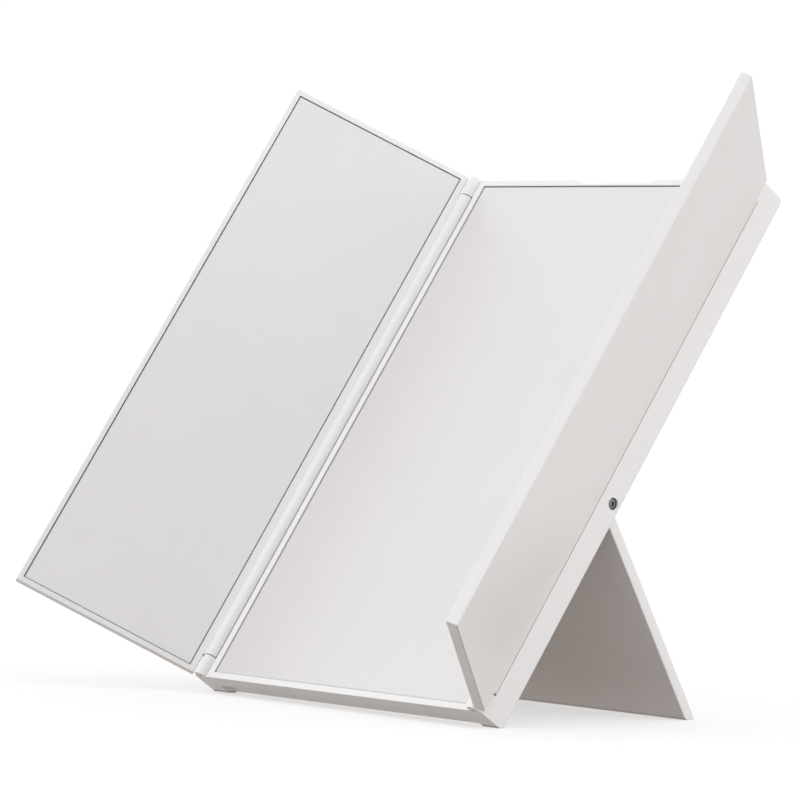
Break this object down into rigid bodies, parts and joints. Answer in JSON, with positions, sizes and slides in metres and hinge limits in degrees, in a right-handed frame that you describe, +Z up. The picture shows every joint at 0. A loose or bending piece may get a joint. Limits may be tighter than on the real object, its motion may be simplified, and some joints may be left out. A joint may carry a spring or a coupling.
{
  "type": "folding tabletop mirror",
  "caption": "Free-standing tri-fold tabletop mirror: leaning centre panel, two hinged half-width mirror wings and a fold-out rear support leg.",
  "frame": {"origin": "middle of the standing mirror's footprint box, on the ground", "axes": "+Z up, +Y backwards, +X to the right as seen from the front"},
  "size_m": [0.2274, 0.1654, 0.2023],
  "materials": {
    "white_plastic": "moulded white ABS, soft gloss",
    "mirror_glass": "back-silvered float glass with ground edges",
    "adhesive_sheet": "double-sided foam sheet",
    "steel": "plain drawn steel"
  },
  "bodies": {
    "centre_panel": {"centre_housing": "white_plastic", "centre_mirror": "mirror_glass", "centre_mirror_adhesive": "adhesive_sheet", "left_hinge_pin_bottom": "steel", "left_hinge_pin_top": "steel", "right_hinge_pin_bottom": "steel", "right_hinge_pin_top": "steel"},
    "left_wing": {"left_wing_frame": "white_plastic", "left_wing_mirror": "mirror_glass", "left_wing_adhesive": "adhesive_sheet"},
    "right_wing": {"right_wing_frame": "white_plastic", "right_wing_mirror": "mirror_glass", "right_wing_adhesive": "adhesive_sheet"},
    "leg": {"support_leg": "white_plastic", "leg_pivot_screw_left": "steel", "leg_pivot_screw_right": "steel"}
  },
  "joints": [
    {"name": "left_wing_hinge", "type": "hinge", "parent": "centre_panel", "child": "left_wing", "pos_m": [-0.06768, 0.01884, 0.08847], "axis": [0, 0.5548, 0.832], "range_deg": [-3.7, 128.7]},
    {"name": "right_wing_hinge", "type": "hinge", "parent": "centre_panel", "child": "right_wing", "pos_m": [0.07032, 0.01884, 0.08847], "axis": [0, -0.5548, -0.832], "range_deg": [-6.6, 125.8]},
    {"name": "leg_hinge", "type": "hinge", "parent": "centre_panel", "child": "leg", "pos_m": [0.00132, 0.01462, 0.06844], "axis": [-1, 0, 0], "range_deg": [0, 63.4]}
  ]
}
